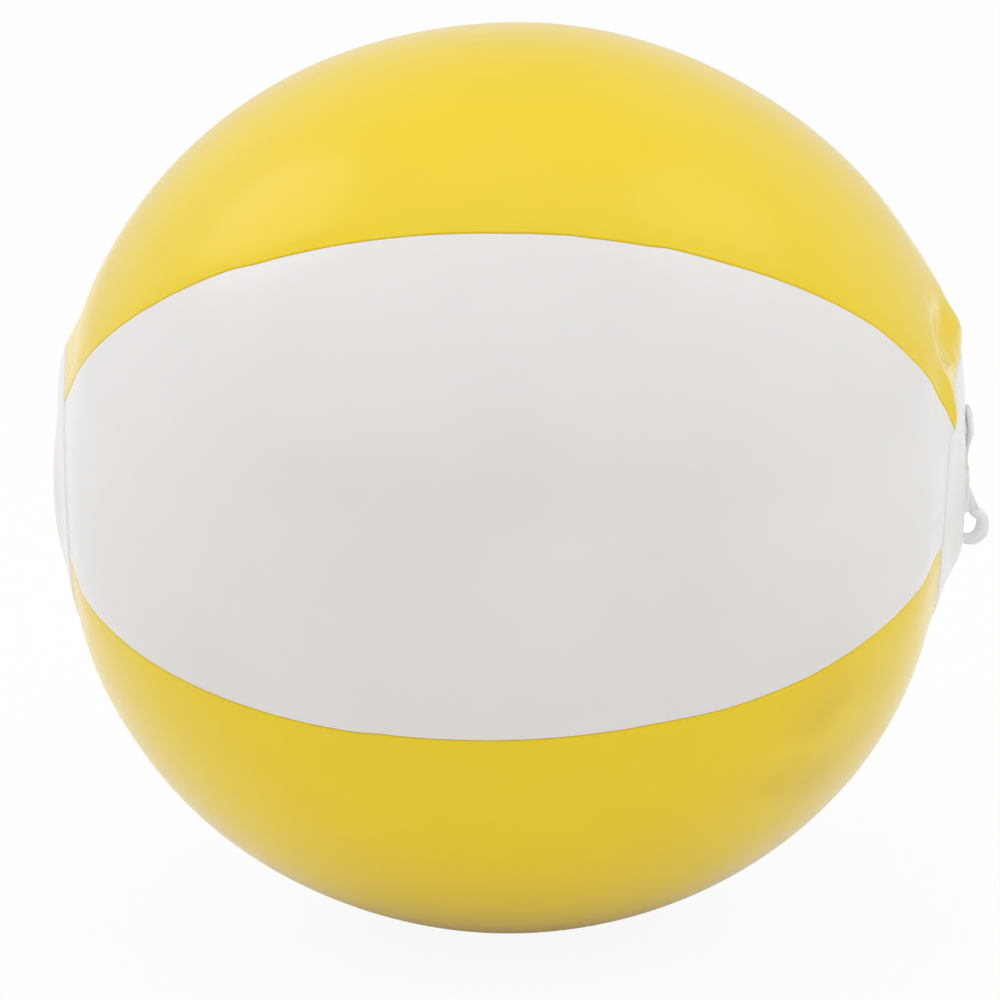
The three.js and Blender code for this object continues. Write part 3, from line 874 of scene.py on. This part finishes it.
def stopper_plug(material):
    """The stopper: a plug with a bulb near its tip, its dished head and the boss on the head."""
    plug_radius = BORE_RADIUS - PLUG_CLEARANCE
    tip_radius = plug_radius - PLUG_TAPER
    widest, waist, straight = PLUG_BULB
    dish = head_top - HEAD_DISH_DEPTH
    corners = [
        (0, plug_tip),
        (tip_radius, plug_tip),
        (plug_radius, plug_tip + PLUG_LENGTH * widest),
        (tip_radius, plug_tip + PLUG_LENGTH * waist),
        (plug_radius, plug_tip + PLUG_LENGTH * straight),
        (plug_radius, head_underside),
        (head_radius, head_underside),
        (head_radius, head_top),
        (head_radius - HEAD_RIM_WIDTH, head_top),
        (head_radius - HEAD_RIM_WIDTH - HEAD_DISH_SLOPE, dish),
        (0, dish),
    ]
    piece = turned("stopper_head_and_plug", rounded(corners, PLUG_ROUNDING, steps=5), material)
    join(piece, stopper_boss(material))
    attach(piece, "stopper")
    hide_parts("stopper_plug")
    return piece


def smooth_path(points, count):
    """Catmull-Rom curve through points in a plane, with about even steps."""
    points = np.array(points, float)
    padded = np.concatenate((2 * points[:1] - points[1:2], points, 2 * points[-1:] - points[-2:-1]))
    share = np.linspace(0, 1, CURVE_STEPS, endpoint=False)[:, None]
    stretches = []
    for before, start, end, after in zip(padded, padded[1:], padded[2:], padded[3:]):
        linear = end - before
        square = 2 * before - 5 * start + 4 * end - after
        cubic = 3 * start - before - 3 * end + after
        stretches.append(start + (linear * share + square * share**2 + cubic * share**3) / 2)
    curve = np.concatenate(stretches + [points[-1:]])
    far = np.concatenate(([0], np.cumsum(np.linalg.norm(np.diff(curve, axis=0), axis=1))))
    even = np.linspace(0, far[-1], count)
    return np.stack([np.interp(even, far, coordinate) for coordinate in curve.T], 1)


def tether_strap(material):
    """The strap from the stem's lip, round its loop, to the boss, drawn as (up, along the axis)."""
    root_height = stem_top - LIP_HEIGHT / 2
    loop_middle = np.array((-lip_radius - STRAP_LOOP_REACH, root_height + STRAP_LOOP_RADIUS))
    path = [(STRAP_ROOT - lip_radius, root_height)]
    for angle in np.linspace(-math.pi / 2, -math.pi * 3 / 2, STRAP_LOOP_POINTS):
        path.append(loop_middle + STRAP_LOOP_RADIUS * np.array((math.cos(angle), math.sin(angle))))
    shoulder_up, shoulder_in = STRAP_SHOULDER
    path.append(loop_middle + (shoulder_up, STRAP_LOOP_RADIUS - shoulder_in))
    path.append(strap_face + strap_away * (WELD_GAP + STRAP_LEAD))
    path.append(strap_face - strap_away * STRAP_ROOT)
    line = smooth_path(path, STRAP_RINGS)
    along = np.gradient(line, axis=0)
    along = along / np.linalg.norm(along, axis=1)[:, None]
    normal = np.stack((-along[:, 1], along[:, 0]), 1)

    share = np.linspace(0, 1, STRAP_RINGS)
    from_ends = np.sin(math.pi * share)
    bulge = from_ends * np.sin(2 * math.pi * (share - STRAP_BULGE_START))
    width = STRAP_WIDTH * (1 - STRAP_WAIST * from_ends)
    thickness = STRAP_THICKNESS * (1 + STRAP_BULGE * bulge)
    squareness = np.interp(np.abs(2 * share - 1) ** 6, (0, 1), STRAP_SQUARENESS)
    rings = []
    for place, out, wide, thick, square in zip(line, normal, width, thickness, squareness):
        across, rise = pillow_ring(wide / 2, thick / 2, STRAP_SECTION_STEPS, square)
        rings.append(valve_points(across, place[1] + rise * out[1], place[0] + rise * out[0]))
    piece = loft("tether_strap_loop", rings, material)
    start = valve_place(root_height + STRAP_THICKNESS / 2, 0)
    end = valve_place(strap_face[1] - STRAP_THICKNESS / 2, 0)
    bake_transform(piece)
    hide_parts("tether_strap")
    return piece


def tab_rings(hinge):
    """Sections of the tab from its neck to its grip's end: place, height, width and thickness of each."""
    grip_half = GRIP_LENGTH / 2
    begin = hinge[0] - NECK_ROOT
    even = np.linspace(0, 1, TAB_RINGS)
    place = begin + (grip_half - begin) * (1 - (1 - even) ** TAB_RING_CROWDING)
    grip_share = smoothstep(hinge[0] + NECK_BEND, GRIP_BLEND - grip_half, place)
    grip_height = crown + TAB_LIFT + GRIP_THICKNESS / 2
    height = hinge[1] + (grip_height - hinge[1]) * grip_share
    oval = GRIP_WIDTH * np.sqrt(np.clip(1 - (np.abs(place) / grip_half) ** GRIP_SQUARENESS, 0, 1))
    width = np.where(place < 0, np.maximum(NECK_WIDTH, oval), oval)
    into_end = np.clip((place - grip_half) / GRIP_END_ROUNDING + 1, 0, 1)
    end_round = np.sqrt(1 - into_end**2)
    thickness = NECK_THICKNESS + (GRIP_THICKNESS - NECK_THICKNESS) * grip_share
    thickness = thickness * np.maximum(end_round, GRIP_TIP_THICKNESS)
    return zip(place, height, np.maximum(width, GRIP_TIP_WIDTH), thickness)


def pull_tab(material):
    """The tab, lofted as if its grip lay across the valve's axis, then turned about the ball's centre."""
    hinge_out = head_radius + WELD_GAP + NECK_THICKNESS / 2
    hinge_height = head_underside + HEAD_THICKNESS / 2
    hinge_to_grip = NECK_LENGTH + GRIP_LENGTH / 2
    hinge_distance = math.hypot(hinge_out, hinge_height)
    tilt = math.atan2(hinge_out, hinge_height) + math.asin(hinge_to_grip / hinge_distance)
    hinge = (-hinge_to_grip, math.sqrt(hinge_distance**2 - hinge_to_grip**2))
    ridge_places = (np.arange(RIDGE_COUNT) - (RIDGE_COUNT - 1) / 2) * RIDGE_PITCH + RIDGE_SHIFT
    rings = []
    for place, height, width, thickness in tab_rings(hinge):
        across, rise = pillow_ring(width / 2, thickness / 2, TAB_SECTION_STEPS, GRIP_SECTION_SQUARENESS)
        ridge = RIDGE_HEIGHT * bell(place - ridge_places, RIDGE_WIDTH).sum()
        ridge_share = np.clip(1 - (np.abs(across) / (RIDGE_REACH * GRIP_WIDTH)) ** 4, 0, 1)
        axial = height + rise + np.where(rise > 0, ridge * ridge_share, 0)
        turned_up = place * math.cos(tilt) + axial * math.sin(tilt)
        turned_axial = axial * math.cos(tilt) - place * math.sin(tilt)
        rings.append(valve_points(across, turned_axial, turned_up))
    piece = loft("pull_tab_grip", rings, material)
    inside_head, beyond_hinge = TAB_BEND_REACH
    start = valve_place(hinge_height, head_radius - inside_head)
    end = valve_place(hinge_height, hinge_out + beyond_hinge)
    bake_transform(piece)
    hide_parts("pull_tab")
    return piece


# Materials


def add_node(tree, kind, inputs=None, **settings):
    node = tree.nodes.new(kind)
    for setting, value in settings.items():
        setattr(node, setting, value)
    for socket, value in (inputs or {}).items():
        if isinstance(value, bpy.types.NodeSocket):
            tree.links.new(value, node.inputs[socket])
        else:
            node.inputs[socket].default_value = value
    return node


def new_material(name):
    material = bpy.data.materials.new(name)
    material.use_nodes = True
    material.node_tree.nodes.clear()
    return material


def noise(tree, place, scale, detail, roughness=0.5):
    inputs = {"Vector": place, "Scale": scale, "Detail": detail, "Roughness": roughness}
    return add_node(tree, "ShaderNodeTexNoise", inputs).outputs["Fac"]


def remap(tree, value, bounds, results):
    """A value between two bounds turned into one between two results, and held there outside the bounds."""
    sockets = ("Value", "From Min", "From Max", "To Min", "To Max")
    inputs = dict(zip(sockets, (value, *bounds, *results)))
    return add_node(tree, "ShaderNodeMapRange", inputs).outputs["Result"]


def calculate(tree, operation, first, second):
    return add_node(tree, "ShaderNodeMath", {0: first, 1: second}, operation=operation).outputs[0]


def show_surface(tree, inputs):
    surface = add_node(tree, "ShaderNodeBsdfPrincipled", inputs)
    add_node(tree, "ShaderNodeOutputMaterial", {"Surface": surface.outputs["BSDF"]})


def shade(colour, factor):
    return tuple(min(part * factor, 1.0) for part in colour) + (1.0,)


def add_painted_reflection(tree, place, colour):
    """The colour with a painted reflection on one side of the ball: a darker, cloudy patch that stands in for
    the surroundings mirrored in the film.
    """
    inputs = {0: place, 1: Vector(PAINTED_REFLECTION_AT) * MM}
    away = add_node(tree, "ShaderNodeVectorMath", inputs, operation="DISTANCE").outputs["Value"]
    near = remap(tree, away, (PAINTED_REFLECTION_CORE * MM, PAINTED_REFLECTION_REACH * MM), (1.0, 0.0))
    reflection_cloud = remap(tree, noise(tree, place, PAINTED_REFLECTION_SCALE, detail=1.0), PAINTED_REFLECTION_BOUNDS, (0.0, 1.0))
    mix = add_node(tree, "ShaderNodeMix", data_type="RGBA")
    factor, first, second = [socket for socket in mix.inputs if socket.enabled]
    tree.links.new(calculate(tree, "MULTIPLY", near, reflection_cloud), factor)
    tree.links.new(colour, first)
    second.default_value = PAINTED_REFLECTION_COLOUR + (1.0,)
    return next(socket for socket in mix.outputs if socket.enabled)


def film_material(name, colour, with_painted_reflection=False):
    """Glossy calendered vinyl: faint clouds in the colour, slow ripples, wiped smears in the gloss."""
    material = new_material(name)
    tree = material.node_tree
    place = add_node(tree, "ShaderNodeTexCoord").outputs["Object"]
    ramp = add_node(tree, "ShaderNodeValToRGB", {"Fac": noise(tree, place, CLOUD_SCALE, detail=4.0)})
    for element, position, factor in zip(ramp.color_ramp.elements, CLOUD_BOUNDS, CLOUD_SHADES):
        element.position = position
        element.color = shade(colour, factor)
    film_colour = ramp.outputs["Color"]
    # painted reflection: a darker, cloudy patch put into the yellow film's colour
    if with_painted_reflection:
        film_colour = add_painted_reflection(tree, place, film_colour)
    smears = noise(tree, place, SMEAR_SCALE, detail=5.0, roughness=0.6)
    ripples = noise(tree, place, RIPPLE_SCALE, detail=1.0)
    bump = add_node(tree, "ShaderNodeBump", {"Height": ripples, "Strength": 0.05, "Distance": 0.001})
    grain = noise(tree, place, GRAIN_SCALE, detail=2.0)
    inputs = {"Height": grain, "Strength": 0.02, "Distance": 0.0002, "Normal": bump.outputs["Normal"]}
    bump = add_node(tree, "ShaderNodeBump", inputs)
    inputs = {
        "Base Color": film_colour,
        "Roughness": remap(tree, smears, SMEAR_BOUNDS, SMEAR_ROUGHNESS),
        "IOR": 1.42,
        "Coat Weight": 0.4,
        "Coat Roughness": 0.2,
        "Coat IOR": 1.25,
        "Normal": bump.outputs["Normal"],
    }
    show_surface(tree, inputs)
    return material


def clear_material(name, colour):
    """Clear soft vinyl, pearly, with moulding ripples."""
    material = new_material(name)
    tree = material.node_tree
    place = add_node(tree, "ShaderNodeTexCoord").outputs["Object"]
    ripples = noise(tree, place, MOULD_RIPPLE_SCALE, detail=3.0)
    bump = add_node(tree, "ShaderNodeBump", {"Height": ripples, "Strength": 0.2, "Distance": 0.0004})
    milk = noise(tree, place, MILK_SCALE, detail=3.0)
    inputs = {
        "Base Color": colour + (1.0,),
        "Roughness": remap(tree, milk, MILK_BOUNDS, MILK_ROUGHNESS),
        "IOR": 1.45,
        "Transmission Weight": 0.12,
        "Subsurface Weight": 0.35,
        "Subsurface Radius": (1.0, 1.0, 1.0),
        "Subsurface Scale": 0.003,
        "Normal": bump.outputs["Normal"],
    }
    show_surface(tree, inputs)
    return material


white_film = film_material("white_film", WHITE)
# the yellow film carries the painted reflection patch
yellow_film = film_material("yellow_film", YELLOW, with_painted_reflection=True)
clear_vinyl = clear_material("clear_vinyl", CLEAR)

for number in range(1, PANEL_COUNT + 1):
    if number % 2:
        film_panel(number, white_film)
    else:
        film_panel(number, yellow_film)
pole_cap("plain_cap", plain_end, white_film)
pole_cap("valve_cap", valve_end, white_film)
for build in (valve_flange, valve_diaphragm, valve_stem, check_flap, stopper_plug, tether_strap, pull_tab):
    build(clear_vinyl)


# Floor, light and camera


def area_lamp(name, way, size, radiance):
    """A round softbox that faces the ball, at a direction from its centre."""
    place = ball_centre + Vector(way).normalized() * LAMP_DISTANCE
    area = math.pi * size**2 / 4
    lamp = bpy.data.lights.new(name, "AREA")
    lamp.shape = "DISK"
    lamp.size = size
    lamp.energy = radiance * math.pi * area
    holder = add_object(name, lamp)
    holder.location = place
    holder.rotation_mode = "QUATERNION"
    holder.rotation_quaternion = (ball_centre - place).to_track_quat("-Z", "Y")


def floor_material():
    """Pale floor, close to white where it is seen and less bright where the ball mirrors it close by."""
    material = new_material("floor")
    tree = material.node_tree
    path = add_node(tree, "ShaderNodeLightPath")
    seen = calculate(tree, "MAXIMUM", path.outputs["Is Camera Ray"], path.outputs["Is Transmission Ray"])
    seen_share = calculate(tree, "MULTIPLY", seen, FLOOR_GLOW)
    place = add_node(tree, "ShaderNodeNewGeometry").outputs["Position"]
    far = add_node(tree, "ShaderNodeVectorMath", {0: place}, operation="LENGTH").outputs["Value"]
    mirrored_share = remap(tree, far, FLOOR_NEAR_FAR, FLOOR_GLOW_MIRRORED)
    mirrored_share = calculate(tree, "MULTIPLY", mirrored_share, path.outputs["Is Glossy Ray"])
    share = calculate(tree, "MAXIMUM", seen_share, mirrored_share)
    diffuse = add_node(tree, "ShaderNodeBsdfDiffuse", {"Color": FLOOR_COLOUR})
    glow = add_node(tree, "ShaderNodeEmission", {"Color": PURE_WHITE, "Strength": 1.0})
    mix = add_node(tree, "ShaderNodeMixShader", {0: share, 1: diffuse.outputs[0], 2: glow.outputs[0]})
    add_node(tree, "ShaderNodeOutputMaterial", {"Surface": mix.outputs[0]})
    return material


def studio_floor():
    """A wide floor that looks white and keeps a faint shadow."""
    corners = [(-1, -1), (1, -1), (1, 1), (-1, 1)]
    mesh = bpy.data.meshes.new("floor")
    mesh.from_pydata([(x * FLOOR_REACH, y * FLOOR_REACH, 0) for x, y in corners], [], [(0, 1, 2, 3)])
    mesh.materials.append(floor_material())
    floor = add_object("floor", mesh)


def studio_world():
    """A tent that is darker in front and overhead, with glows round the lamps and high in front.

    It is white where it is seen, and has a least brightness where it is mirrored.
    """
    world = bpy.data.worlds.new("studio")
    world.use_nodes = True
    tree = world.node_tree
    tree.nodes.clear()
    direction = add_node(tree, "ShaderNodeTexCoord").outputs["Generated"]
    parts = add_node(tree, "ShaderNodeSeparateXYZ", {"Vector": direction})
    level = remap(tree, parts.outputs["Y"], TENT_DEPTH, TENT_FRONT_BACK)
    top_share = remap(tree, parts.outputs["Z"], TENT_HEIGHT, (1.0, TENT_TOP_SHARE))
    level = calculate(tree, "MULTIPLY", level, top_share)
    for way, extra in (
        (LEFT_LAMP_WAY, LEFT_TENT_EXTRA),
        (RIGHT_LAMP_WAY, RIGHT_TENT_EXTRA),
        (FRONT_TENT_WAY, FRONT_TENT_EXTRA),
    ):
        towards = Vector(way).normalized()
        near = add_node(tree, "ShaderNodeVectorMath", {0: direction, 1: towards}, operation="DOT_PRODUCT")
        glow = remap(tree, near.outputs["Value"], (TENT_GLOW_EDGE, 1.0), (0.0, extra))
        level = calculate(tree, "ADD", level, glow)
    path = add_node(tree, "ShaderNodeLightPath")
    seen = calculate(tree, "MAXIMUM", path.outputs["Is Camera Ray"], path.outputs["Is Transmission Ray"])
    level = calculate(tree, "MAXIMUM", level, seen)
    mirrored = calculate(tree, "MULTIPLY", path.outputs["Is Glossy Ray"], TENT_MIRRORED)
    level = calculate(tree, "MAXIMUM", level, mirrored)
    back = add_node(tree, "ShaderNodeBackground", {"Color": PURE_WHITE, "Strength": level})
    add_node(tree, "ShaderNodeOutputWorld", {"Surface": back.outputs[0]})
    bpy.context.scene.world = world


def photo_camera():
    """The camera of the photograph, with the ball's centre at its pixel in the frame."""
    azimuth = math.radians(CAMERA_AZIMUTH_DEG)
    elevation = math.radians(CAMERA_ELEVATION_DEG)
    level = math.cos(elevation)
    back = Vector((math.sin(azimuth) * level, -math.cos(azimuth) * level, math.sin(elevation)))
    turn = (-back).to_track_quat("-Z", "Y") @ Quaternion((0, 0, 1), -math.radians(CAMERA_ROLL_DEG))
    right = turn @ Vector((1, 0, 0))
    up = turn @ Vector((0, 1, 0))
    pixel = CAMERA_DISTANCE * SENSOR / LENS / FRAME_PIXELS  # at the ball's centre
    aside = (CENTRE_PIXEL[0] - FRAME_PIXELS / 2) * pixel
    below = (CENTRE_PIXEL[1] - FRAME_PIXELS / 2) * pixel
    data = bpy.data.cameras.new("photo_camera")
    data.lens = LENS
    data.sensor_width = SENSOR
    camera = add_object("photo_camera", data)
    camera.rotation_mode = "QUATERNION"
    camera.rotation_quaternion = turn
    camera.location = ball_centre + back * CAMERA_DISTANCE - right * aside + up * below
    bpy.context.scene.camera = camera


studio_floor()
studio_world()
area_lamp("left_softbox", LEFT_LAMP_WAY, LEFT_LAMP_SIZE, LEFT_LAMP_RADIANCE)
area_lamp("right_softbox", RIGHT_LAMP_WAY, RIGHT_LAMP_SIZE, RIGHT_LAMP_RADIANCE)
photo_camera()
bpy.context.scene.view_settings.view_transform = "Standard"
